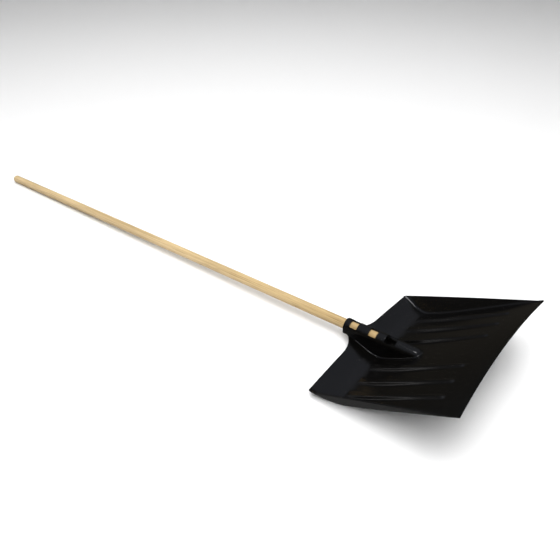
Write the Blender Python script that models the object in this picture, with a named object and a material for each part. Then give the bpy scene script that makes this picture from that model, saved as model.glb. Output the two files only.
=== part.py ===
"""Snow shovel: a one-piece moulded plastic scoop with a hollow socket, a tapered
wooden shaft pushed into the socket, and the wood screw that holds the shaft.

The scoop is modelled in its own scoop frame: X across, Y forward to the cutting
edge, Z up from the scoop floor, origin at the middle of the bend between the
floor and the back wall. An empty then lays the whole shovel down as it lies on
the ground: on the back corner of the scoop and on the tip of the shaft.
Units are metres.
"""
import math

import bmesh
import bpy
import numpy as np
from mathutils import Matrix, Vector

# ------------------------------------------------------------ driving dimensions
SHAFT_D = 0.0275          # shaft diameter at the socket
SHAFT_TIP_D = 0.0250      # shaft diameter at the free end
SHAFT_LEN = 1.548         # whole length of the wooden shaft
SHAFT_RISE = math.radians(27.75)   # shaft axis above the scoop floor
AXIS_HEIGHT = 0.0485      # height of the shaft axis above the rear bend

FRONT_W = 0.2332          # half width at the cutting edge
BASE_W = 0.2124           # half width of the floor at the rear bend
REAR_W = 0.2330           # half width at the rear top corners
FLOOR_LEN = 0.3350        # rear bend to the front corners
REAR_Y = -0.0448          # rear top corner, behind the bend
REAR_Z = 0.0432           # rear top corner, above the floor
APEX_Y = -0.0390          # middle of the gable-shaped rear edge
APEX_Z = 0.0580
SHOULDER_RISE = 0.0110     # the rear edge rises by this beside the socket
SHOULDER_LEAN = 0.225      # and the back wall leans back more there
EDGE_SET_BACK = 0.0022    # the cutting edge curves back by this in the middle
CROWN_REAR = 0.0034       # the floor is this much higher along its middle, at the bend
CROWN_FRONT = 0.0138      # and this much at the cutting edge
DISH = 0.0080             # it sags this much behind its half length
WALL = 0.0032             # wall thickness
EDGE_WALL = 0.0019        # thickness at the cutting edge

RIB_X = (0.0632, 0.1208, 0.1745)   # rib centre lines, each side
RIB_START = 0.012
RIB_END = (0.2690, 0.2715, 0.2745)
RIB_HALF_REAR = 0.0150    # half width at the foot, rear
RIB_HALF_TIP = 0.0085     # half width at the foot, tip
RIB_FLANK = 0.0074        # width of the sloping flank
RIB_LEVEL = 0.0020        # least height of the ribs, which partly bridge the sag

TUBE_R = 0.0190           # outside of the socket, over the shaft
SOCKET_GAP = 0.0003       # gap between the shaft and its bore
MOUTH_S = 0.0814          # socket mouth, along the shaft axis
SHAFT_END_S = -0.0215     # inner end of the shaft, along the same axis
NOSE_Y = 0.1200           # front tip of the socket's skirt
WINDOW_HALF = 0.0153
WINDOWS = ((0.0440, 0.0655), (-0.0110, 0.0105), (-0.0645, -0.0355))
SCREW_S = 0.0705          # place of the fixing screw along the axis
SCREW_R = 0.0021

AX = np.array([0.0, -math.cos(SHAFT_RISE), math.sin(SHAFT_RISE)])
UP = np.array([0.0, math.sin(SHAFT_RISE), math.cos(SHAFT_RISE)])
AXIS_P = np.array([0.0, 0.0, AXIS_HEIGHT])
TAN = math.tan(SHAFT_RISE)
SLANT = 1.0 / math.cos(SHAFT_RISE)


# ------------------------------------------------------------ start clean
for old in list(bpy.data.objects):
    bpy.data.objects.remove(old, do_unlink=True)


def material(name, colour, rough, metallic=0.0):
    m = bpy.data.materials.new(name)
    m.use_nodes = True
    b = m.node_tree.nodes["Principled BSDF"]
    b.inputs["Base Color"].default_value = (*colour, 1.0)
    b.inputs["Roughness"].default_value = rough
    b.inputs["Metallic"].default_value = metallic
    m.diffuse_color = (*colour, 1.0)
    return m


PLASTIC = material("black_plastic", (0.018, 0.018, 0.019), 0.33)
PINE = material("pine", (0.72, 0.55, 0.36), 0.6)
ZINC = material("zinc_steel", (0.62, 0.63, 0.64), 0.35, 1.0)

frame_empty = bpy.data.objects.new("scoop_frame", None)
bpy.context.collection.objects.link(frame_empty)


def add(name, bm_or_mesh, mat=None, helper=False):
    me = bm_or_mesh
    if isinstance(me, bmesh.types.BMesh):
        mesh = bpy.data.meshes.new(name)
        me.to_mesh(mesh)
        me.free()
        me = mesh
    o = bpy.data.objects.new(name, me)
    bpy.context.collection.objects.link(o)
    o.parent = frame_empty
    if mat:
        me.materials.append(mat)
    if helper:
        o.hide_render = True
        o.display_type = "WIRE"
    return o


# ------------------------------------------------------------ scoop surfaces
GABLE = APEX_Z - REAR_Z
LEAN_MID = -APEX_Y / APEX_Z
LEAN_END = -REAR_Y / REAR_Z
FLARE = (FRONT_W - BASE_W) / FLOOR_LEN
SIDE_LEAN = (REAR_W - BASE_W - FLARE * REAR_Y) / REAR_Z


def sag(y):
    t = min(max(y / FLOOR_LEN, 0.0), 1.0)
    return DISH * max(math.sin(math.pi * t**0.5), 0.0) ** 1.3


def floor_z(x, y):
    t = min(max(y / FLOOR_LEN, 0.0), 1.0)
    across = min(abs(x) / (BASE_W + FLARE * max(y, 0.0)), 1.0)
    crown = CROWN_REAR + (CROWN_FRONT - CROWN_REAR) * t**1.6
    return crown * (1 - across**2) - sag(y)


def shoulder(x):
    """1 beside the socket, falling away in a concave curve: the rear edge sweeps back there."""
    return max((0.0800 - max(abs(x), 0.019)) / 0.0610, 0.0) ** 2.2


def lean(x):
    a = min(abs(x) / REAR_W, 1.0)
    return LEAN_MID + (LEAN_END - LEAN_MID) * a + SHOULDER_LEAN * shoulder(x)


def rear_rim_z(x):
    a = min(abs(x) / REAR_W, 1.0)
    return REAR_Z + GABLE * (1 - a) + SHOULDER_RISE * shoulder(x)


def side_rim_z(y):
    t = (FLOOR_LEN - y) / (FLOOR_LEN - REAR_Y)
    t = min(max(t, 0.0), 1.0)
    return REAR_Z * t + 0.0010 * 4 * t * (1 - t)


def smax(a, b, k):
    return max(a, b) + max(k - abs(a - b), 0.0) ** 2 / (4 * k)


def hollow(p):
    """Negative inside the scoop's hollow, zero on its inner surface."""
    x, y, z = p
    f = -(z - floor_z(x, y)) + CROWN_REAR * (1 - min(abs(x) / BASE_W, 1.0) ** 2) * min(max(-y / 0.02, 0.0), 1.0)
    g = lean(x)
    b = (-y - g * z) / math.hypot(1.0, g)
    s = (abs(x) - BASE_W - FLARE * y - SIDE_LEAN * z) / math.hypot(1.0, SIDE_LEAN)
    high = max(side_rim_z(max(y, 0.0)) - floor_z(abs(x), y), 0.0015)
    k_side = min(0.0045 + 0.012 * min(max(z / REAR_Z, 0.0), 1.0) ** 2 * (y < 0), 0.9 * high)
    return smax(smax(f, b, 0.016), s, k_side)


def slope(p):
    h = 1e-5
    g = np.array([(hollow(p + e) - hollow(p - e)) / (2 * h) for e in np.eye(3) * h])
    return g / np.linalg.norm(g)


def settle(p):
    """Moves a point of the sharp-edged box on to the rounded inner surface."""
    p = np.array(p, float)
    n = slope(p)
    for _ in range(12):
        v = hollow(p)
        if abs(v) < 1e-7:
            break
        p = p - n * v
    return p, slope(p)


def rib_shape(x, y, inset):
    """0 to 1: how far up the flank of the nearest rib the point is."""
    best = 0.0
    for cx, end in zip(RIB_X, RIB_END):
        t = min(max((y - RIB_START) / (end - RIB_START), 0.0), 1.0)
        half = RIB_HALF_REAR + (RIB_HALF_TIP - RIB_HALF_REAR) * t
        r_tip, r_rear = RIB_HALF_TIP, 0.006
        along = max(y - (end - r_tip), (RIB_START + r_rear) - y, 0.0)
        r = r_tip if y > 0.1 else r_rear
        across = max(abs(abs(x) - cx) - (half - r), 0.0)
        d = math.hypot(across, along) - r + inset
        u = min(max(-d / RIB_FLANK, 0.0), 1.0)
        best = max(best, u * u * (3 - 2 * u))
    return best


def rib_height(y):
    return RIB_LEVEL + 0.62 * sag(y)


def rib_columns():
    """Lines across the floor: (centre, share of the rib's half width, shift)."""
    cols = [(0.0, 0, 0.0), (0.0145, 0, 0.0), (0.0205, 0, 0.0), (0.0265, 0, 0.0), (0.035, 0, 0.0)]
    for i, cx in enumerate(RIB_X):
        if i:
            cols.append(((RIB_X[i - 1] + cx) / 2, 0, 0.0))
        for side in (-1, 1):
            for shift in (0.0, RIB_FLANK * 0.35, RIB_FLANK * 0.7, RIB_FLANK):
                cols.append((cx, side, shift))
    cols.append((0.201, 0, 0.0))
    return cols


def column_x(col, y):
    c, side, shift = col
    if not side:
        return c
    t = min(max((y - RIB_START) / (RIB_END[1] - RIB_START), 0.0), 1.0)
    half = RIB_HALF_REAR + (RIB_HALF_TIP - RIB_HALF_REAR) * t
    return c + side * (half - shift)


def floor_edge_x(y):
    x = BASE_W + FLARE * y
    for _ in range(4):
        x = BASE_W + FLARE * y + SIDE_LEAN * floor_z(x, y)
    return x


def scoop_sheet():
    """The scoop without its socket: one closed sheet of even thickness."""
    half = sorted(rib_columns(), key=lambda c: column_x(c, 0.1))
    ys = [0.0, 0.004, 0.009, 0.0135, 0.018, 0.026, 0.045, 0.075, 0.110, 0.150, 0.190, 0.225,
          0.248, 0.2585, 0.264, 0.2690, 0.2745, 0.284, 0.305, 1.0]
    backs = [1.0, 0.72, 0.40, 0.22, 0.10]
    sides = [0.06, 0.14, 0.28, 0.62, 1.0]
    edge = [0.0055, 0.0022]      # columns beside the side bend, measured from it

    def floor_line(y):
        """Half of one row across the floor: x at the given y, middle to edge."""
        e = floor_edge_x(y)
        return [column_x(c, y) for c in half] + [e - d for d in edge] + [e]

    n_half = len(half) + len(edge) + 1
    rows = []
    # back wall rows, rim first, then floor rows, rear bend to the front edge
    for w in backs:
        row = []
        base = floor_line(0.0)
        for i, x0 in enumerate(base):
            share = x0 / base[-1]
            top_x = x0 + (REAR_W - base[-1]) * max((share - 0.86) / 0.14, 0.0)
            top_z = rear_rim_z(top_x)
            z = top_z * w
            x = x0 + (top_x - x0) * w
            row.append((x, -lean(x) * z, z))
        rows.append(row)
    for y in ys:
        row = []
        for i in range(n_half):
            yy = min(y, FLOOR_LEN)
            x = floor_line(yy)[i]
            if y >= 0.30:                      # the last rows follow the curved front edge
                k = 1.0 if y >= 1.0 else (y - 0.284) / (FLOOR_LEN - 0.284)
                yy = yy - EDGE_SET_BACK * k * (1 - min(x / FRONT_W, 1.0) ** 2)
            row.append((x, yy, floor_z(x, yy)))
        rows.append(row)
    n_back = len(backs)

    def wall_point(row, w):
        """Side wall, up from the floor row (or along the back corner)."""
        if row < n_back:
            c = rows[row][-1]
            return c
        y = rows[row][-1][1]
        t = (FLOOR_LEN - y) / FLOOR_LEN
        foot = Vector(rows[row][-1])
        ty = y + REAR_Y * t
        tz = max(side_rim_z(ty), 0.0018)
        top = Vector((BASE_W + FLARE * ty + SIDE_LEAN * tz, ty, tz))
        return foot.lerp(top, w)

    bm = bmesh.new()
    cache = {}

    def pair(p, rib=True):
        """Inner and outer vertex for a point of the sharp-edged box."""
        key = (round(p[0], 7), round(p[1], 7), round(p[2], 7))
        if key in cache:
            return cache[key]
        q, n = settle(p)
        wall = WALL + (EDGE_WALL - WALL) * min(max((q[1] - 0.300) / 0.030, 0.0), 1.0)
        low = q + n * wall
        if rib and q[1] > 0.004:
            up = rib_shape(q[0], q[1], 0.0)
            under = rib_shape(q[0], q[1], WALL * 0.85)
            h = max(rib_height(q[1]), 0.0016)
            q = q + np.array([0, 0, h * up])
            low = low + np.array([0, 0, h * under])
        cache[key] = (bm.verts.new(q), bm.verts.new(low))
        return cache[key]

    def mirror(p):
        return (-p[0], p[1], p[2])

    grid = []       # per row: vertex pairs from the -X edge to the +X edge of floor or back
    for row in rows:
        right = [pair(p) for p in row]
        left = [pair(mirror(p)) if abs(p[0]) > 1e-9 else right[0] for p in row]
        grid.append(left[::-1] + right[1:])
    top, bottom, open_edges = [], [], []

    def quad(a, b, c, d):
        """Corners counter-clockwise seen from inside the scoop."""
        ring, low = [], []
        for v in (a, b, c, d):
            if v not in ring:
                ring.append(v)
        top.append([v[0] for v in ring])
        bottom.append([v[1] for v in ring][::-1])

    for i in range(len(grid) - 1):
        for j in range(len(grid[i]) - 1):
            quad(grid[i][j], grid[i + 1][j], grid[i + 1][j + 1], grid[i][j + 1])
    # side walls: stations along the floor edge, from the front to the rear bend, share
    # their rear column with the back wall's last column
    for sign in (1, -1):
        cols = []
        for r in range(len(rows) - 1, n_back - 1, -1):
            pts = [wall_point(r, w) for w in sides]
            foot = grid[r][-1 if sign > 0 else 0]
            cols.append([foot] + [pair(p if sign > 0 else mirror(p), rib=False) for p in pts])
        # the corner column runs up the back wall's end
        corner = [grid[n_back][-1 if sign > 0 else 0]] + [grid[r][-1 if sign > 0 else 0] for r in range(n_back - 1, -1, -1)]
        cols[-1] = corner
        for a, b in zip(cols, cols[1:]):
            for k in range(len(a) - 1):
                if sign > 0:
                    quad(a[k], a[k + 1], b[k + 1], b[k])
                else:
                    quad(a[k], b[k], b[k + 1], a[k + 1])
    for f in top + bottom:
        try:
            bm.faces.new(f)
        except ValueError:
            pass
    rim = [e for e in bm.edges if len(e.link_faces) == 1]
    uppers = {p[0]: p[1] for p in cache.values()}
    for e in rim:
        a, b = e.verts
        if a in uppers and b in uppers:
            loop = e.link_loops[0]
            a, b = loop.vert, loop.link_loop_next.vert
            bm.faces.new((b, a, uppers[a], uppers[b]))
    bmesh.ops.recalc_face_normals(bm, faces=bm.faces)
    return bm


# ------------------------------------------------------------ socket
def tube_section(y, half, top_z, spring, foot_half, foot_z, n=12, corner=0.0004):
    turn = [(foot_half - corner * (1 - math.sin(a)), y, foot_z + corner * (1 - math.cos(a)))
            for a in (0.0, math.radians(32), math.radians(61), math.pi / 2)]
    pts = list(turn)
    for i in range(n + 1):
        a = math.pi * i / n
        pts.append((half * math.cos(a), y, spring + (top_z - spring) * math.sin(a)))
    pts += [(-p[0], p[1], p[2]) for p in turn[::-1]]
    return pts


def loft(sections):
    bm = bmesh.new()
    rings = [[bm.verts.new(p) for p in s] for s in sections]
    for a, b in zip(rings, rings[1:]):
        for i in range(len(a)):
            j = (i + 1) % len(a)
            bm.faces.new((a[i], a[j], b[j], b[i]))
    bm.faces.new(rings[0][::-1])
    bm.faces.new(rings[-1])
    bmesh.ops.recalc_face_normals(bm, faces=bm.faces)
    return bm


def sheet_middle(y):
    """Height of the middle of the sheet under the socket."""
    if y >= 0.004:
        return floor_z(0, y) - WALL / 2
    return max(-min(y, 0.0) / lean(0) - WALL * 0.9, floor_z(0, 0.0) - WALL / 2)


def socket_blank():
    out = []
    nose_c = NOSE_Y - TUBE_R
    ys = [-0.105, -0.0555, -0.045, -0.036, -0.029, -0.02, -0.01, 0.0, 0.02, 0.045, 0.07, 0.085, nose_c]
    ys += [nose_c + TUBE_R * s for s in (0.35, 0.62, 0.80, 0.92, 0.985)]
    for y in ys:
        axis_z = AXIS_HEIGHT - y * TAN
        foot = min(axis_z - TUBE_R * SLANT, sheet_middle(y)) if y < 0 else sheet_middle(y)
        top = axis_z + TUBE_R * SLANT
        half = TUBE_R
        if y > nose_c:
            k = math.sqrt(1 - ((y - nose_c) / TUBE_R) ** 2)
            half = TUBE_R * k
            top = foot + (top - foot) * k**0.8
        spring = max(axis_z, foot + 0.0006)
        flare = 1.0 + 0.07 * min(max((y + 0.03) / 0.03, 0.0), 1.0)
        corner = 0.0004 + 0.0076 * min(max((-0.036 - y) / 0.0195, 0.0), 1.0)
        out.append(tube_section(y, half, max(top, spring + 0.0006), spring, half * flare, foot, corner=corner))
    return loft(out)


def socket_hollow():
    out = []
    inner = SHAFT_D / 2 + SOCKET_GAP + 0.0007
    nose_c = NOSE_Y - TUBE_R
    ys = [-0.0425, -0.03, -0.015, 0.0, 0.03, 0.06, 0.085, nose_c]
    ys += [nose_c + inner * s for s in (0.45, 0.75, 0.93)]
    for y in ys:
        axis_z = AXIS_HEIGHT - y * TAN
        top = axis_z + inner * SLANT
        half = inner
        if y > nose_c:
            k = math.sqrt(1 - ((y - nose_c) / inner) ** 2)
            half = inner * k
            top = sheet_middle(y) + (top - sheet_middle(y)) * k**0.8
        spring = max(axis_z, sheet_middle(y) - 0.004)
        out.append(tube_section(y, half, max(top, spring + 0.0006), spring, half, sheet_middle(y) - 0.03))
    return loft(out)


def along_axis(s, x=0.0, n=0.0):
    return AXIS_P + AX * s + UP * n + np.array([x, 0, 0])


def turned(radii, sides, s_dir=AX):
    """A round solid on the shaft axis from (s, radius) pairs."""
    side = np.array([1.0, 0, 0])
    bm = bmesh.new()
    rings = []
    for s, r in radii:
        ring = []
        for i in range(sides):
            a = 2 * math.pi * i / sides
            ring.append(bm.verts.new(AXIS_P + AX * s + (side * math.cos(a) + UP * math.sin(a)) * r))
        rings.append(ring)
    for a, b in zip(rings, rings[1:]):
        for i in range(sides):
            j = (i + 1) % sides
            bm.faces.new((a[i], a[j], b[j], b[i]))
    bm.faces.new(rings[0][::-1])
    bm.faces.new(rings[-1])
    bmesh.ops.recalc_face_normals(bm, faces=bm.faces)
    return bm


def slab(s0, s1, x0, x1, n0, n1):
    """A box squared up to the shaft axis."""
    bm = bmesh.new()
    v = [bm.verts.new(along_axis(s, x, n)) for s in (s0, s1) for x in (x0, x1) for n in (n0, n1)]
    for f in ((0, 1, 3, 2), (4, 6, 7, 5), (0, 4, 5, 1), (2, 3, 7, 6), (0, 2, 6, 4), (1, 5, 7, 3)):
        bm.faces.new([v[i] for i in f])
    bmesh.ops.recalc_face_normals(bm, faces=bm.faces)
    return bm


def boolean(target, cutter, operation):
    m = target.modifiers.new(operation.lower() + "_" + cutter.name, "BOOLEAN")
    m.operation = operation
    m.solver = "EXACT"
    m.object = cutter


scoop = add("scoop", scoop_sheet(), PLASTIC)
blank = add("socket_blank", socket_blank(), helper=True)
boolean(scoop, blank, "UNION")
cavity = add("socket_cavity", socket_hollow(), helper=True)
# cross walls stay in the open skirt, to carry the shaft and stop its end
for i, (s0, s1, n1) in enumerate(((0.0185, 0.0225, -0.004), (-0.0035, 0.0005, -0.004), (-0.0262, -0.0222, 0.0300))):
    web = add("cross_wall_%d" % (i + 1), slab(s0, s1, -0.03, 0.03, -0.09, n1), helper=True)
    boolean(cavity, web, "DIFFERENCE")
boolean(scoop, cavity, "DIFFERENCE")

INNER = SHAFT_D / 2 + SOCKET_GAP
bore = add("shaft_bore", turned([(SHAFT_END_S - SOCKET_GAP, INNER), (MOUTH_S + 0.03, INNER)], 32), helper=True)
boolean(scoop, bore, "DIFFERENCE")
mouth = add("mouth_plane", slab(MOUTH_S, MOUTH_S + 0.08, -0.05, 0.05, -0.05, 0.05), helper=True)
boolean(scoop, mouth, "DIFFERENCE")
for i, (s0, s1) in enumerate(WINDOWS):
    w = add("window_%d" % (i + 1), slab(s0, s1, -WINDOW_HALF, WINDOW_HALF, 0.0075, 0.035), helper=True)
    boolean(scoop, w, "DIFFERENCE")


# ------------------------------------------------------------ shaft
def shaft_radius(s):
    t = (s - SHAFT_END_S) / SHAFT_LEN
    return SHAFT_D / 2 + (SHAFT_TIP_D - SHAFT_D) / 2 * min(max(t, 0.0), 1.0)


S_TIP = SHAFT_END_S + SHAFT_LEN
profile = [(SHAFT_END_S, SHAFT_D / 2 - 0.0015), (SHAFT_END_S + 0.0015, SHAFT_D / 2)]
for f in (0.12, 0.25, 0.5, 0.75):
    s = SHAFT_END_S + SHAFT_LEN * f
    profile.append((s, shaft_radius(s)))
r_tip = SHAFT_TIP_D / 2
for a in range(0, 85, 14):                # rounded free end
    k = math.radians(a)
    profile.append((S_TIP - 0.0105 * (1 - math.sin(k)), r_tip * math.cos(k)))
shaft = add("wooden_shaft", turned(profile, 32), PINE)
shaft.data.shade_smooth()
shaft.data.set_sharp_from_angle(angle=math.radians(35))


# ------------------------------------------------------------ fixing screw
def screw_mesh(grow=0.0):
    """Wood screw on the underside of the collar, driven up into the shaft."""
    side = np.array([1.0, 0, 0])
    o = along_axis(SCREW_S)
    prof = [(-0.0214 - grow, 0.0001), (-0.0214 - grow, 0.0026 + grow), (-0.0207 - grow, 0.0036 + grow),
            (-0.0193 + grow * 0, 0.0038 + grow), (-0.0193 + grow * 0, SCREW_R + grow)]
    prof += [(-0.0050, SCREW_R + grow), (-0.0010 + grow, 0.0003 + grow)]
    bm = bmesh.new()
    rings = []
    for n, r in prof[1:]:
        rings.append([bm.verts.new(o + UP * n + (side * math.cos(2 * math.pi * i / 20) + AX * math.sin(2 * math.pi * i / 20)) * r)
                      for i in range(20)])
    for a, b in zip(rings, rings[1:]):
        for i in range(20):
            bm.faces.new((a[i], a[(i + 1) % 20], b[(i + 1) % 20], b[i]))
    bm.faces.new(rings[0][::-1])
    bm.faces.new(rings[-1])
    bmesh.ops.recalc_face_normals(bm, faces=bm.faces)
    return bm


screw = add("fixing_screw", screw_mesh(), ZINC)
recess = add("drive_slot", slab(SCREW_S - 0.0024, SCREW_S + 0.0024, -0.0005, 0.0005, -0.0230, -0.0202), helper=True)
boolean(screw, recess, "DIFFERENCE")
recess2 = add("drive_cross", slab(SCREW_S - 0.0005, SCREW_S + 0.0005, -0.0024, 0.0024, -0.0230, -0.0202), helper=True)
boolean(screw, recess2, "DIFFERENCE")


def pilot(name, n0, n1, r):
    side = np.array([1.0, 0, 0])
    o = along_axis(SCREW_S)
    bm = bmesh.new()
    rings = [[bm.verts.new(o + UP * n + (side * math.cos(2 * math.pi * i / 20) + AX * math.sin(2 * math.pi * i / 20)) * r)
              for i in range(20)] for n in (n0, n1)]
    for i in range(20):
        bm.faces.new((rings[0][i], rings[0][(i + 1) % 20], rings[1][(i + 1) % 20], rings[1][i]))
    bm.faces.new(rings[0][::-1])
    bm.faces.new(rings[1])
    bmesh.ops.recalc_face_normals(bm, faces=bm.faces)
    return add(name, bm, helper=True)


boolean(scoop, pilot("screw_hole", -0.0250, -0.0100, SCREW_R + 0.0003), "DIFFERENCE")
boolean(shaft, pilot("pilot_hole", -0.0200, -0.0006, SCREW_R + 0.0003), "DIFFERENCE")

# ------------------------------------------------------------ lay the shovel down
bpy.context.view_layer.update()
deps = bpy.context.evaluated_depsgraph_get()


def points(o):
    me = o.evaluated_get(deps).to_mesh()
    out = np.array([v.co[:] for v in me.vertices])
    o.evaluated_get(deps).to_mesh_clear()
    return out


P = {o.name: points(o) for o in (scoop, shaft, screw)}
allp = np.vstack(list(P.values()))


def low(tilt, pts):
    return float((pts[:, 1] * math.sin(tilt) + pts[:, 2] * math.cos(tilt)).min())


a, b = 0.3, 0.7                            # tilt at which scoop and shaft tip rest level
for _ in range(60):
    m = (a + b) / 2
    if low(m, P["wooden_shaft"]) > low(m, P["scoop"]):
        a = m
    else:
        b = m
tilt = (a + b) / 2
turn = Matrix.Rotation(tilt, 4, "X")
world = allp @ np.array(turn.to_3x3()).T
lo, hi = world.min(0), world.max(0)
frame_empty.matrix_world = Matrix.Translation((-(lo[0] + hi[0]) / 2, -(lo[1] + hi[1]) / 2, -lo[2])) @ turn
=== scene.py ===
"""Looks for the snow shovel: a fine moulded scoop, a turned pine shaft and a zinc screw,
on a pale floor under soft studio light. Units are metres."""

import math

import bpy
import numpy as np
from mathutils import Matrix, Vector


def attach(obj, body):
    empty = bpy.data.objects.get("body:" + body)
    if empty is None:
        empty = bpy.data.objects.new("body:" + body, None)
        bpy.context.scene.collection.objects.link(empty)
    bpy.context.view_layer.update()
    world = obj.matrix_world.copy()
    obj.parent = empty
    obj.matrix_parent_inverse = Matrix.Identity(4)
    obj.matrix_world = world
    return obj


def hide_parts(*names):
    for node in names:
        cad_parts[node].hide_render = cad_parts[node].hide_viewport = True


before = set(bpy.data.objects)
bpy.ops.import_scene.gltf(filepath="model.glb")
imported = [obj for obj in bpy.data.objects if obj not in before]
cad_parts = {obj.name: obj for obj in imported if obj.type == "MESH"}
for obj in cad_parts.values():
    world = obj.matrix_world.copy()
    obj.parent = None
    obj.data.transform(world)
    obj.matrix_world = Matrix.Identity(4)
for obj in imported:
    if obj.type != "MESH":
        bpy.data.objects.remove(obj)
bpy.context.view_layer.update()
rng = np.random.default_rng(7)

# ------------------------------------------------------------ dimensions, as in the CAD
SHAFT_D = 0.0275
SHAFT_TIP_D = 0.0250
SHAFT_LEN = 1.548
SHAFT_RISE = math.radians(27.75)
AXIS_HEIGHT = 0.0485
FRONT_W = 0.2332
BASE_W = 0.2124
REAR_W = 0.2330
FLOOR_LEN = 0.3350
REAR_Y = -0.0448
REAR_Z = 0.0432
APEX_Y = -0.0390
APEX_Z = 0.0580
SHOULDER_RISE = 0.0110
SHOULDER_LEAN = 0.225
EDGE_SET_BACK = 0.0022
CROWN_REAR = 0.0034
CROWN_FRONT = 0.0138
DISH = 0.0080
WALL = 0.0032
EDGE_WALL = 0.0019
RIB_X = (0.0632, 0.1208, 0.1745)
RIB_START = 0.012
RIB_END = (0.2690, 0.2715, 0.2745)
RIB_HALF_REAR = 0.0150
RIB_HALF_TIP = 0.0085
RIB_FLANK = 0.0074
RIB_LEVEL = 0.0020
TUBE_R = 0.0190
SOCKET_GAP = 0.0003
MOUTH_S = 0.0814
SHAFT_END_S = -0.0215
NOSE_Y = 0.1200
WINDOW_HALF = 0.0153
WINDOWS = ((0.0440, 0.0655), (-0.0110, 0.0105), (-0.0645, -0.0355))
WEBS = ((0.0185, 0.0225, -0.004), (-0.0035, 0.0005, -0.004), (-0.0262, -0.0222, 0.0300))
SCREW_S = 0.0705
SCREW_R = 0.0021
INNER = SHAFT_D / 2 + SOCKET_GAP
CAVITY_R = INNER + 0.0007

AX = np.array([0.0, -math.cos(SHAFT_RISE), math.sin(SHAFT_RISE)])
UP = np.array([0.0, math.sin(SHAFT_RISE), math.cos(SHAFT_RISE)])
TAN = math.tan(SHAFT_RISE)
SLANT = 1.0 / math.cos(SHAFT_RISE)
LEAN_MID = -APEX_Y / APEX_Z
LEAN_END = -REAR_Y / REAR_Z
FLARE = (FRONT_W - BASE_W) / FLOOR_LEN
SIDE_LEAN = (REAR_W - BASE_W - FLARE * REAR_Y) / REAR_Z
GABLE = APEX_Z - REAR_Z

# the scoop frame laid down on the ground, as in the CAD
LAID = Matrix(((1.0, 0.0, 0.0, 0.0),
               (0.0, 0.8757642507553101, -0.48273906111717224, 0.6277210116386414),
               (0.0, 0.48273906111717224, 0.8757642507553101, -0.0004912522272206843),
               (0.0, 0.0, 0.0, 1.0)))


# the shaft's own axes, Z from its inner end to its tip
SHAFT_PLACE = Matrix.Identity(4)
for _i, _col in enumerate((np.cross(UP, AX), UP, AX, np.array([0.0, 0.0, AXIS_HEIGHT]) + AX * SHAFT_END_S)):
    for _r in range(3):
        SHAFT_PLACE[_r][_i] = _col[_r]
SHAFT_PLACE = LAID @ SHAFT_PLACE
SHAFT_TURN = SHAFT_PLACE.to_3x3()
SOCKET_END = (SHAFT_TURN.inverted() @ SHAFT_PLACE.translation).z   # height of the inner end in turned coordinates


# ------------------------------------------------------------ the moulding as one solid function
def smax(a, b, k):
    return np.maximum(a, b) + np.maximum(k - np.abs(a - b), 0.0) ** 2 / (4 * k)


def smin(a, b, k):
    return -smax(-a, -b, k)


def clip01(v):
    return np.clip(v, 0.0, 1.0)


def sag(y):
    t = clip01(y / FLOOR_LEN)
    return DISH * np.maximum(np.sin(np.pi * np.sqrt(t)), 0.0) ** 1.3


def floor_z(x, y):
    t = clip01(y / FLOOR_LEN)
    across = np.minimum(np.abs(x) / (BASE_W + FLARE * np.maximum(y, 0.0)), 1.0)
    return (CROWN_REAR + (CROWN_FRONT - CROWN_REAR) * t**1.6) * (1 - across**2) - sag(y)


def ribs(x, y, inset, flank):
    best = np.zeros(np.broadcast(x, y).shape)
    ax = np.abs(x)
    for cx, end in zip(RIB_X, RIB_END):
        t = clip01((y - RIB_START) / (end - RIB_START))
        half = RIB_HALF_REAR + (RIB_HALF_TIP - RIB_HALF_REAR) * t
        along = np.maximum(np.maximum(y - (end - RIB_HALF_TIP), (RIB_START + 0.006) - y), 0.0)
        r = np.where(y > 0.1, RIB_HALF_TIP, 0.006)
        across = np.maximum(np.abs(ax - cx) - (half - r), 0.0)
        u = clip01((r - np.hypot(across, along) - inset) / flank)
        best = np.maximum(best, u * u * (3 - 2 * u))
    return best * np.maximum(RIB_LEVEL + 0.62 * sag(y), 0.0016)


def shoulder(x):
    return np.maximum((0.0800 - np.maximum(np.abs(x), 0.019)) / 0.0610, 0.0) ** 2.2


def lean(x):
    return LEAN_MID + (LEAN_END - LEAN_MID) * np.minimum(np.abs(x) / REAR_W, 1.0) + SHOULDER_LEAN * shoulder(x)


def hollow(x, y, z, raised):
    ax = np.abs(x)
    f = floor_z(x, y) + raised - z + CROWN_REAR * (1 - np.minimum(ax / BASE_W, 1.0) ** 2) * clip01(-y / 0.02)
    g = lean(x)
    b = (-y - g * z) / np.hypot(1.0, g)
    s = (ax - BASE_W - FLARE * y - SIDE_LEAN * z) / math.hypot(1.0, SIDE_LEAN)
    yf = np.maximum(y, 0.0)
    rise = REAR_Z * clip01((FLOOR_LEN - yf) / (FLOOR_LEN - REAR_Y))
    high = np.maximum(rise - floor_z(x, y), 0.0015)
    k = np.minimum(0.0045 + 0.012 * clip01(z / REAR_Z) ** 2 * (y < 0), 0.9 * high)
    return smax(smax(f, b, 0.016), s, k)


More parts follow.
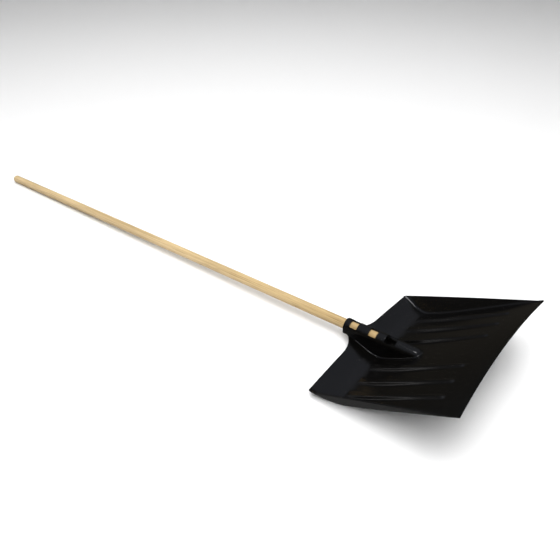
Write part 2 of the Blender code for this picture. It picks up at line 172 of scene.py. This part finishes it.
def sheet_parts(x, y, z):
    """Inner surface, outer surface and trimmed edges of the moulded sheet."""
    ax = np.abs(x)
    top = REAR_Z + GABLE * (1 - np.minimum(ax / REAR_W, 1.0)) + SHOULDER_RISE * shoulder(x)
    inner = hollow(x, y, z, ribs(x, y, 0.0, RIB_FLANK))
    outer = hollow(x, y, z, ribs(x, y, WALL * 0.85, RIB_FLANK))
    wall = WALL + (EDGE_WALL - WALL) * clip01((y - 0.300) / 0.030)
    g = lean(x)
    hyp = np.hypot(1.0, g)
    back_rim = (z - g * y) / hyp - top * hyp
    t = clip01((FLOOR_LEN - y) / (FLOOR_LEN - REAR_Y))
    rim = np.maximum(REAR_Z * t + 0.0040 * t * (1 - t), 0.0018)
    hs = math.hypot(1.0, SIDE_LEAN)
    side_rim = (z + SIDE_LEAN * (ax - BASE_W - FLARE * y)) / hs - rim * hs
    front = y - FLOOR_LEN + EDGE_SET_BACK * (1 - np.minimum(ax / FRONT_W, 1.0) ** 2)
    trim = smax(smax(back_rim, side_rim, 0.003), front, 0.002)
    return inner, outer - wall, trim, wall


def solid(x, y, z):
    """Signed distance-like value of the whole moulding, negative inside the plastic."""
    ax = np.abs(x)
    n = UP[1] * y + UP[2] * (z - AXIS_HEIGHT)
    s = AX[1] * y + AX[2] * (z - AXIS_HEIGHT)
    inner, outer, trim, wall = sheet_parts(x, y, z)
    sheet = smax(np.maximum(-inner, outer), trim, 0.0011)
    # socket: half round on top, straight sides; a collar behind, a skirt in the hollow
    ring = np.hypot(x, n)
    foot = 1.0 + 0.07 * clip01((y + 0.03) / 0.03) * clip01(-n / 0.03)
    profile = np.where(n > 0, ring - TUBE_R, ax - TUBE_R * foot)
    rc = 0.0080
    qx, qn = ax - (TUBE_R - rc), -n - (TUBE_R - rc)
    box2 = np.hypot(np.maximum(qx, 0), np.maximum(qn, 0)) + np.minimum(np.maximum(qx, qn), 0) - rc
    collar = np.maximum(np.where(n > 0, ring - TUBE_R, box2), -0.030 - s)
    nose_c = NOSE_Y - TUBE_R
    nose = np.hypot(x, np.maximum(y - nose_c, 0.0)) - TUBE_R * foot
    above = (z - (AXIS_HEIGHT - y * TAN)) - TUBE_R * SLANT
    nose = smax(nose, above / SLANT + 0.0006, 0.011)
    skirt = np.where(y > nose_c - 0.012, smax(profile, nose, 0.004), profile)
    skirt = np.maximum(skirt, inner - wall * 0.5)
    skirt = np.maximum(skirt, -0.045 - y)
    socket = np.minimum(collar, skirt)
    body = smin(sheet, socket, 0.0042)
    # open skirt from below, with its cross walls
    cav = np.where(n > 0, ring, ax) - CAVITY_R
    cav_nose = np.hypot(x, np.maximum(y - nose_c, 0.0)) - CAVITY_R
    cav = np.maximum(np.maximum(cav, np.where(y > nose_c, cav_nose, -1.0)), -0.0425 - y)
    cav = np.maximum(cav, above / SLANT + TUBE_R - CAVITY_R)
    webs = np.full(np.broadcast(x, y, z).shape, 1.0)
    for s0, s1, n1 in WEBS:
        webs = np.minimum(webs, np.maximum(np.maximum(s0 - s, s - s1), n - n1))
    cav = np.maximum(cav, -webs)
    body = smax(body, -cav, 0.0008)
    bore = np.maximum(ring - INNER, (SHAFT_END_S - SOCKET_GAP) - s)
    body = smax(body, -bore, 0.0008)
    body = smax(body, s - MOUTH_S, 0.0016)
    for s0, s1 in WINDOWS:
        win = smax(smax(s0 - s, s - s1, 0.0012), smax(ax - WINDOW_HALF, 0.0075 - n, 0.0012), 0.0016)
        body = smax(body, -win, 0.0012)
    hole = np.maximum(np.hypot(x, s - SCREW_S) - (SCREW_R + 0.0003), np.maximum(n + 0.010, -0.025 - n))
    return smax(body, -hole, 0.0004)


def steps(*spans):
    """Grid lines from (end, spacing) spans, starting at the first value."""
    out = [spans[0]]
    for end, h in spans[1:]:
        n = max(1, round((end - out[-1]) / h))
        out += list(np.linspace(out[-1], end, n + 1)[1:])
    return np.array(out)


def net(gx, gy, gz):
    """Surface net of solid() over a rectilinear grid: points and quads."""
    x, y, z = gx[:, None, None], gy[None, :, None], gz[None, None, :]
    v = np.empty((len(gx), len(gy), len(gz)))
    for i in range(0, len(gx), 16):                # in slabs, to keep memory small
        v[i:i + 16] = solid(x[i:i + 16], y, z)
    neg = v < 0
    mixed = np.zeros((len(gx) - 1, len(gy) - 1, len(gz) - 1), bool)
    first = neg[:-1, :-1, :-1]
    for a in (0, 1):
        for b in (0, 1):
            for c in (0, 1):
                mixed |= neg[a:a + mixed.shape[0], b:b + mixed.shape[1], c:c + mixed.shape[2]] != first
    idx = np.full(mixed.shape, -1, np.int64)
    cells = np.argwhere(mixed)
    idx[mixed] = np.arange(len(cells))
    # start each point at the mean of its cell's edge crossings
    acc, cnt = np.zeros((len(cells), 3)), np.zeros(len(cells))
    grid = (gx, gy, gz)
    for axis in range(3):
        u, w = [k for k in range(3) if k != axis]
        for du in (0, 1):
            for dw in (0, 1):
                lo = cells.copy()
                lo[:, u] += du
                lo[:, w] += dw
                hi = lo.copy()
                hi[:, axis] += 1
                a, b = v[tuple(lo.T)], v[tuple(hi.T)]
                m = (a < 0) != (b < 0)
                t = np.where(m, a / np.where(m, a - b, 1.0), 0.0)
                p = np.stack([grid[k][lo[:, k]] for k in range(3)], 1)
                p[:, axis] += t * (grid[axis][hi[:, axis]] - grid[axis][lo[:, axis]])
                acc[m] += p[m]
                cnt[m] += 1
    pts = acc / np.maximum(cnt, 1)[:, None]
    quads = []
    for axis in range(3):
        u, w = (axis + 1) % 3, (axis + 2) % 3
        lo = [slice(None)] * 3
        hi = [slice(None)] * 3
        lo[axis], hi[axis] = slice(None, -1), slice(1, None)
        a, b = neg[tuple(lo)], neg[tuple(hi)]
        e = np.argwhere(a != b)
        e = e[(e[:, u] > 0) & (e[:, w] > 0) & (e[:, u] < mixed.shape[u]) & (e[:, w] < mixed.shape[w])]
        inside_first = a[tuple(e.T)]
        ring = []
        for du, dw in ((-1, -1), (0, -1), (0, 0), (-1, 0)):
            c = e.copy()
            c[:, u] += du
            c[:, w] += dw
            ring.append(idx[tuple(c.T)])
        q = np.stack(ring, 1)
        q[~inside_first] = q[~inside_first][:, ::-1]
        quads.append(q)
    return pts, np.vstack(quads)


def gradient(p, h=2.5e-5):
    g = np.empty_like(p)
    for k in range(3):
        d = np.zeros(3)
        d[k] = h
        a, b = p + d, p - d
        g[:, k] = (solid(a[:, 0], a[:, 1], a[:, 2]) - solid(b[:, 0], b[:, 1], b[:, 2])) / (2 * h)
    return g


def mesh_object(name, verts, faces, material):
    me = bpy.data.meshes.new(name)
    me.vertices.add(len(verts))
    me.vertices.foreach_set("co", np.asarray(verts, np.float32).ravel())
    faces = np.asarray(faces, np.int32)
    me.loops.add(faces.size)
    me.loops.foreach_set("vertex_index", faces.ravel())
    me.polygons.add(len(faces))
    me.polygons.foreach_set("loop_start", np.arange(0, faces.size, 4, dtype=np.int32))
    me.update(calc_edges=True)
    me.validate()
    me.shade_smooth()
    o = bpy.data.objects.new(name, me)
    bpy.context.scene.collection.objects.link(o)
    me.materials.append(material)
    return o


# ------------------------------------------------------------ materials
def node_material(name):
    m = bpy.data.materials.new(name)
    m.use_nodes = True
    nt = m.node_tree
    return m, nt, nt.nodes["Principled BSDF"]


def link(nt, a, b):
    nt.links.new(a, b)


def texture(nt, kind, scale, detail=3.0, rough=0.55, vector=None, **extra):
    t = nt.nodes.new(kind)
    if "Scale" in t.inputs:
        t.inputs["Scale"].default_value = scale
    if "Detail" in t.inputs:
        t.inputs["Detail"].default_value = detail
    if "Roughness" in t.inputs:
        t.inputs["Roughness"].default_value = rough
    for k, v in extra.items():
        setattr(t, k, v)
    if vector is not None:
        link(nt, vector, t.inputs["Vector"])
    return t


def ramp(nt, source, stops):
    r = nt.nodes.new("ShaderNodeValToRGB")
    while len(r.color_ramp.elements) < len(stops):
        r.color_ramp.elements.new(0.5)
    for e, (pos, col) in zip(r.color_ramp.elements, stops):
        e.position = pos
        e.color = col if len(col) == 4 else (*col, 1.0)
    link(nt, source, r.inputs["Fac"])
    return r


def spread(nt, source, lo, hi):
    r = nt.nodes.new("ShaderNodeMapRange")
    r.inputs["To Min"].default_value = lo
    r.inputs["To Max"].default_value = hi
    link(nt, source, r.inputs["Value"])
    return r.outputs["Result"]


def black_plastic():
    """Injection-moulded polypropylene: fine grain, slight haze, faint flow and rub marks."""
    m, nt, b = node_material("black_plastic_moulded")
    co = nt.nodes.new("ShaderNodeTexCoord").outputs["Object"]
    grain = texture(nt, "ShaderNodeTexNoise", 1400.0, 4.0, 0.6, co)
    haze = texture(nt, "ShaderNodeTexNoise", 14.0, 5.0, 0.6, co)
    stretch = nt.nodes.new("ShaderNodeMapping")
    stretch.inputs["Scale"].default_value = (90.0, 7.0, 40.0)
    link(nt, co, stretch.inputs["Vector"])
    rub = texture(nt, "ShaderNodeTexNoise", 4.0, 6.0, 0.7, stretch.outputs["Vector"])
    marks = ramp(nt, rub.outputs["Fac"], [(0.0, (0, 0, 0)), (0.60, (0, 0, 0)), (0.78, (1, 1, 1))])
    base = nt.nodes.new("ShaderNodeMix")
    base.data_type = "RGBA"
    base.inputs["A"].default_value = (0.0011, 0.0010, 0.0009, 1)
    base.inputs["B"].default_value = (0.0021, 0.0019, 0.0016, 1)
    link(nt, haze.outputs["Fac"], base.inputs["Factor"])
    link(nt, base.outputs["Result"], b.inputs["Base Color"])
    r1 = spread(nt, haze.outputs["Fac"], 0.17, 0.23)
    add = nt.nodes.new("ShaderNodeMath")
    add.operation = "MULTIPLY_ADD"
    add.inputs[1].default_value = 0.05
    link(nt, marks.outputs["Color"], add.inputs[0])
    link(nt, r1, add.inputs[2])
    link(nt, add.outputs["Value"], b.inputs["Roughness"])
    b.inputs["IOR"].default_value = 1.5
    bump = nt.nodes.new("ShaderNodeBump")
    bump.inputs["Strength"].default_value = 0.12
    bump.inputs["Distance"].default_value = 0.00012
    link(nt, grain.outputs["Fac"], bump.inputs["Height"])
    link(nt, bump.outputs["Normal"], b.inputs["Normal"])
    return m


def pine():
    """Turned softwood, bare and sanded: lengthwise streaks, growth lines, pores, with painted shade darkening it
    toward the socket end. Z runs along the shaft.
    """
    m, nt, b = node_material("pine_turned")
    turn = nt.nodes.new("ShaderNodeMapping")          # Z along the shaft
    turn.inputs["Rotation"].default_value = SHAFT_TURN.inverted().to_euler()
    link(nt, nt.nodes.new("ShaderNodeTexCoord").outputs["Object"], turn.inputs["Vector"])
    co = turn.outputs["Vector"]

    def along(sx, sz):
        mp = nt.nodes.new("ShaderNodeMapping")
        mp.inputs["Scale"].default_value = (sx, sx, sz)
        link(nt, co, mp.inputs["Vector"])
        return mp.outputs["Vector"]

    broad = texture(nt, "ShaderNodeTexNoise", 1.0, 4.0, 0.55, along(95.0, 2.2))
    fine = texture(nt, "ShaderNodeTexNoise", 1.0, 5.0, 0.65, along(620.0, 9.0))
    fibre = texture(nt, "ShaderNodeTexNoise", 1.0, 3.0, 0.6, along(2600.0, 60.0))
    patch = texture(nt, "ShaderNodeTexNoise", 1.0, 3.0, 0.5, along(20.0, 5.5))
    colour = ramp(nt, broad.outputs["Fac"], [
        (0.28, (0.430, 0.300, 0.150)), (0.42, (0.560, 0.420, 0.225)),
        (0.53, (0.660, 0.510, 0.290)), (0.66, (0.600, 0.450, 0.245)), (0.80, (0.470, 0.335, 0.170))])
    streak = ramp(nt, fine.outputs["Fac"], [(0.34, (0.50, 0.43, 0.34)), (0.47, (1, 1, 1)), (0.62, (1.0, 0.98, 0.95)), (0.74, (0.74, 0.68, 0.60))])
    mul = nt.nodes.new("ShaderNodeMix")
    mul.data_type = "RGBA"
    mul.blend_type = "MULTIPLY"
    mul.inputs["Factor"].default_value = 0.75
    link(nt, colour.outputs["Color"], mul.inputs["A"])
    link(nt, streak.outputs["Color"], mul.inputs["B"])
    tone = ramp(nt, patch.outputs["Fac"], [(0.35, (0.86, 0.83, 0.79)), (0.62, (1.05, 1.03, 1.0))])
    mul2 = nt.nodes.new("ShaderNodeMix")
    mul2.data_type = "RGBA"
    mul2.blend_type = "MULTIPLY"
    mul2.inputs["Factor"].default_value = 0.8
    link(nt, mul.outputs["Result"], mul2.inputs["A"])
    link(nt, tone.outputs["Color"], mul2.inputs["B"])
    # painted shade: the wood colour is multiplied darker toward the socket end (down to about 0.74 at the inner end),
    # standing in for less light falling there
    lengthwise = nt.nodes.new("ShaderNodeSeparateXYZ")
    link(nt, co, lengthwise.inputs["Vector"])
    painted_shade_falloff = nt.nodes.new("ShaderNodeMapRange")
    painted_shade_falloff.inputs["From Min"].default_value = SOCKET_END
    painted_shade_falloff.inputs["From Max"].default_value = SOCKET_END + 0.75
    painted_shade_falloff.interpolation_type = "SMOOTHSTEP"
    link(nt, lengthwise.outputs["Z"], painted_shade_falloff.inputs["Value"])
    painted_shade_ramp = ramp(nt, painted_shade_falloff.outputs["Result"], [(0.0, (0.74, 0.70, 0.60)), (0.35, (0.88, 0.86, 0.80)), (1.0, (1.0, 1.0, 1.0))])
    painted_shade_mix = nt.nodes.new("ShaderNodeMix")
    painted_shade_mix.data_type = "RGBA"
    painted_shade_mix.blend_type = "MULTIPLY"
    painted_shade_mix.inputs["Factor"].default_value = 1.0
    link(nt, mul2.outputs["Result"], painted_shade_mix.inputs["A"])
    link(nt, painted_shade_ramp.outputs["Color"], painted_shade_mix.inputs["B"])
    link(nt, painted_shade_mix.outputs["Result"], b.inputs["Base Color"])
    link(nt, spread(nt, fine.outputs["Fac"], 0.46, 0.62), b.inputs["Roughness"])
    bump = nt.nodes.new("ShaderNodeBump")
    bump.inputs["Strength"].default_value = 0.35
    bump.inputs["Distance"].default_value = 0.00015
    link(nt, fibre.outputs["Fac"], bump.inputs["Height"])
    link(nt, bump.outputs["Normal"], b.inputs["Normal"])
    return m


def zinc():
    """Zinc-plated steel: fine turning marks and cloudy plating."""
    m, nt, b = node_material("zinc_plated")
    co = nt.nodes.new("ShaderNodeTexCoord").outputs["Object"]
    cloud = texture(nt, "ShaderNodeTexNoise", 600.0, 4.0, 0.6, co)
    fine = texture(nt, "ShaderNodeTexNoise", 5000.0, 3.0, 0.6, co)
    tint = ramp(nt, cloud.outputs["Fac"], [(0.3, (0.52, 0.53, 0.54)), (0.7, (0.68, 0.69, 0.70))])
    link(nt, tint.outputs["Color"], b.inputs["Base Color"])
    b.inputs["Metallic"].default_value = 1.0
    link(nt, spread(nt, cloud.outputs["Fac"], 0.26, 0.44), b.inputs["Roughness"])
    bump = nt.nodes.new("ShaderNodeBump")
    bump.inputs["Strength"].default_value = 0.15
    bump.inputs["Distance"].default_value = 0.00003
    link(nt, fine.outputs["Fac"], bump.inputs["Height"])
    link(nt, bump.outputs["Normal"], b.inputs["Normal"])
    return m


PLASTIC, PINE, ZINC = black_plastic(), pine(), zinc()

# ------------------------------------------------------------ scoop
fine_x = steps(0.0, (0.034, 0.00125), (0.0474, 0.0019), (0.0790, 0.00165), (0.1048, 0.0020), (0.1368, 0.00165),
               (0.1585, 0.0020), (0.1905, 0.00165), (0.2070, 0.0021), (0.2400, 0.00125))
gx = np.concatenate([-fine_x[:0:-1], fine_x]) + 0.00003
gy = steps(-0.1150, (-0.0660, 0.0014), (0.0200, 0.00125), (0.0400, 0.0019), (0.0850, 0.0026), (0.1250, 0.0014), (0.2450, 0.0031),
           (0.2800, 0.0015), (0.3270, 0.0028), (0.3375, 0.0009))
gz = steps(-0.0130, (0.0180, 0.00102), (0.0720, 0.00125), (0.1090, 0.0014))
pts, quads = net(gx, gy, gz)
start = pts.copy()
for _ in range(7):
    val = solid(pts[:, 0], pts[:, 1], pts[:, 2])
    grad = gradient(pts)
    move = -(val / np.maximum((grad**2).sum(1), 0.2))[:, None] * grad
    size = np.linalg.norm(move, axis=1, keepdims=True)
    pts = pts + move * np.minimum(1.0, 0.0006 / np.maximum(size, 1e-9))
    off = pts - start
    far = np.linalg.norm(off, axis=1, keepdims=True)
    pts = start + off * np.minimum(1.0, 0.0022 / np.maximum(far, 1e-9))
# even out the points along the surface, then settle them again
for _ in range(2):
    total, count = np.zeros_like(pts), np.zeros(len(pts))
    for k in range(4):
        np.add.at(total, quads[:, k], pts[quads[:, (k + 1) % 4]] + pts[quads[:, k - 1]])
        np.add.at(count, quads[:, k], 2)
    grad = gradient(pts)
    nrm = grad / np.maximum(np.linalg.norm(grad, axis=1, keepdims=True), 1e-9)
    shift = total / np.maximum(count, 1)[:, None] - pts
    shift -= nrm * (shift * nrm).sum(1, keepdims=True)
    pts = pts + 0.4 * shift
    val = solid(pts[:, 0], pts[:, 1], pts[:, 2])
    pts = pts - (val / np.maximum((grad**2).sum(1), 0.2))[:, None] * grad
grad = gradient(pts, 6e-5)
scoop = mesh_object("scoop_moulding", pts, quads, PLASTIC)
normals = grad / np.maximum(np.linalg.norm(grad, axis=1, keepdims=True), 1e-9)
if len(scoop.data.vertices) == len(normals):
    scoop.data.normals_split_custom_set_from_vertices(normals.tolist())
scoop.data.transform(LAID)
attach(scoop, "root")
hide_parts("scoop")
print("scoop faces", len(scoop.data.polygons))


# ------------------------------------------------------------ shaft
def lathe(name, profile, sides, mat):
    rings = len(profile)
    ang = np.arange(sides) * 2 * math.pi / sides
    verts = []
    for zc, r in profile:
        verts += [(r * math.cos(a), r * math.sin(a), zc) for a in ang]
    faces = []
    for i in range(rings - 1):
        for j in range(sides):
            k = (j + 1) % sides
            faces.append((i * sides + j, i * sides + k, (i + 1) * sides + k, (i + 1) * sides + j))
    me = bpy.data.meshes.new(name)
    me.from_pydata(verts, [], faces + [tuple(range(sides))[::-1], tuple(range((rings - 1) * sides, rings * sides))])
    me.materials.append(mat)
    me.shade_smooth()
    me.set_sharp_from_angle(angle=math.radians(40))
    o = bpy.data.objects.new(name, me)
    bpy.context.scene.collection.objects.link(o)
    return o


def radius(d):
    return SHAFT_D / 2 + (SHAFT_TIP_D - SHAFT_D) / 2 * min(max(d / SHAFT_LEN, 0.0), 1.0)


prof = [(0.0, 0.0110), (0.0, SHAFT_D / 2 - 0.0016), (0.0008, SHAFT_D / 2 - 0.0005), (0.0018, SHAFT_D / 2 - 0.0001)]
prof += [(d, radius(d)) for d in np.linspace(0.01, SHAFT_LEN - 0.0140, 40)]
r_tip = SHAFT_TIP_D / 2
for a in range(0, 86, 5):
    k = math.radians(a)
    prof.append((SHAFT_LEN - 0.0106 * (1 - math.sin(k)), r_tip * math.cos(k)))
shaft = lathe("pine_shaft", prof, 96, PINE)
shaft.data.transform(SHAFT_PLACE)
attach(shaft, "root")
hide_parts("wooden_shaft")

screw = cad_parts["fixing_screw"]
screw.data.materials.clear()
screw.data.materials.append(ZINC)

# ------------------------------------------------------------ floor, light, camera
floor_mat, nt, b = node_material("studio_floor")
b.inputs["Base Color"].default_value = (0.94, 0.94, 0.94, 1)
b.inputs["Roughness"].default_value = 0.8
b.inputs["Specular IOR Level"].default_value = 0.2
profile = [(0.02, 0.0), (1.0, 0.0), (3.0, 0.0), (6.0, 0.0)]
profile += [(6.0 + 3.0 * math.sin(math.radians(t)), 3.0 - 3.0 * math.cos(math.radians(t))) for t in range(10, 91, 10)]
profile += [(9.0, 8.0)]
floor = lathe("studio_floor", [(h - 0.0004, r) for r, h in profile], 96, floor_mat)
floor.data.flip_normals()
floor.visible_glossy = False              # the plastic sees the studio's dim surround, not the lit floor

world = bpy.data.worlds.new("studio")
world.use_nodes = True
wt = world.node_tree
bg = wt.nodes["Background"]
gen = wt.nodes.new("ShaderNodeTexCoord").outputs["Generated"]
sep = wt.nodes.new("ShaderNodeSeparateXYZ")
link(wt, gen, sep.inputs["Vector"])
height = wt.nodes.new("ShaderNodeMapRange")
height.inputs["From Min"].default_value = -1.0
height.inputs["From Max"].default_value = 1.0
link(wt, sep.outputs["Z"], height.inputs["Value"])
SKY = [(-1.00, (0.120, 0.120, 0.118)), (-0.60, (0.122, 0.121, 0.118)), (-0.30, (0.150, 0.141, 0.136)), (-0.18, (0.120, 0.110, 0.101)),
       (-0.10, (0.086, 0.078, 0.068)), (-0.035, (0.075, 0.070, 0.057)), (0.015, (0.065, 0.058, 0.047)), (0.09, (0.050, 0.046, 0.037)),
       (0.30, (0.060, 0.062, 0.064)), (0.52, (0.170, 0.175, 0.195)), (0.72, (0.290, 0.310, 0.365)), (1.00, (0.290, 0.310, 0.365))]
sky = ramp(wt, height.outputs["Result"], [((z + 1) / 2, c) for z, c in SKY])
link(wt, sky.outputs["Color"], bg.inputs["Color"])
bg.inputs["Strength"].default_value = 1.0
bpy.context.scene.world = world
bpy.context.scene.view_settings.view_transform = "Standard"


def softbox(name, at, to, size, power, colour=(1, 1, 1), glossy=False, diffuse=True):
    ld = bpy.data.lights.new(name, "AREA")
    ld.shape = "RECTANGLE"
    ld.size, ld.size_y = size
    ld.energy = power
    ld.color = colour
    o = bpy.data.objects.new(name, ld)
    bpy.context.scene.collection.objects.link(o)
    o.location = at
    o.rotation_euler = (Vector(to) - Vector(at)).to_track_quat("-Z", "Y").to_euler()
    o.visible_glossy = glossy
    o.visible_diffuse = diffuse
    return o


softbox("key", (1.3, 1.2, 3.0), (0.0, 0.0, 0.0), (3.0, 3.0), 130)
softbox("top", (-0.6, -0.3, 3.4), (0.0, 0.0, 0.0), (4.0, 4.0), 82)
# small lights that only draw the thin highlights along the mouldings
softbox("glint_above", (0.25, 0.60, 2.9), (0.0, 0.65, 0.05), (0.9, 0.7), 16, glossy=True, diffuse=False)
softbox("glint_low", (1.45, -2.3, 0.62), (0.0, 0.75, 0.10), (1.1, 0.35), 7, glossy=True, diffuse=False)

cam_data = bpy.data.cameras.new("camera")
cam = bpy.data.objects.new("camera", cam_data)
bpy.context.scene.collection.objects.link(cam)
right = Vector((-0.6087211297386643, 0.7933779611615676, 0.003164186822237479))
up = Vector((-0.4579524346555249, -0.35461626373999594, 0.8151851888215501))
view = Vector((-0.6478720196171162, -0.49477140202673203, -0.5791917816034909))
loc = Vector((1.125617952379278, 1.1673961904460695, 1.092579725394389))
cam.matrix_world = Matrix(((right.x, up.x, -view.x, loc.x), (right.y, up.y, -view.y, loc.y),
                           (right.z, up.z, -view.z, loc.z), (0, 0, 0, 1)))
cam_data.sensor_width = 36.0
cam_data.lens = 647.0000888102641 / 560.0 * 36.0
cam_data.clip_end = 60.0
bpy.context.scene.camera = cam
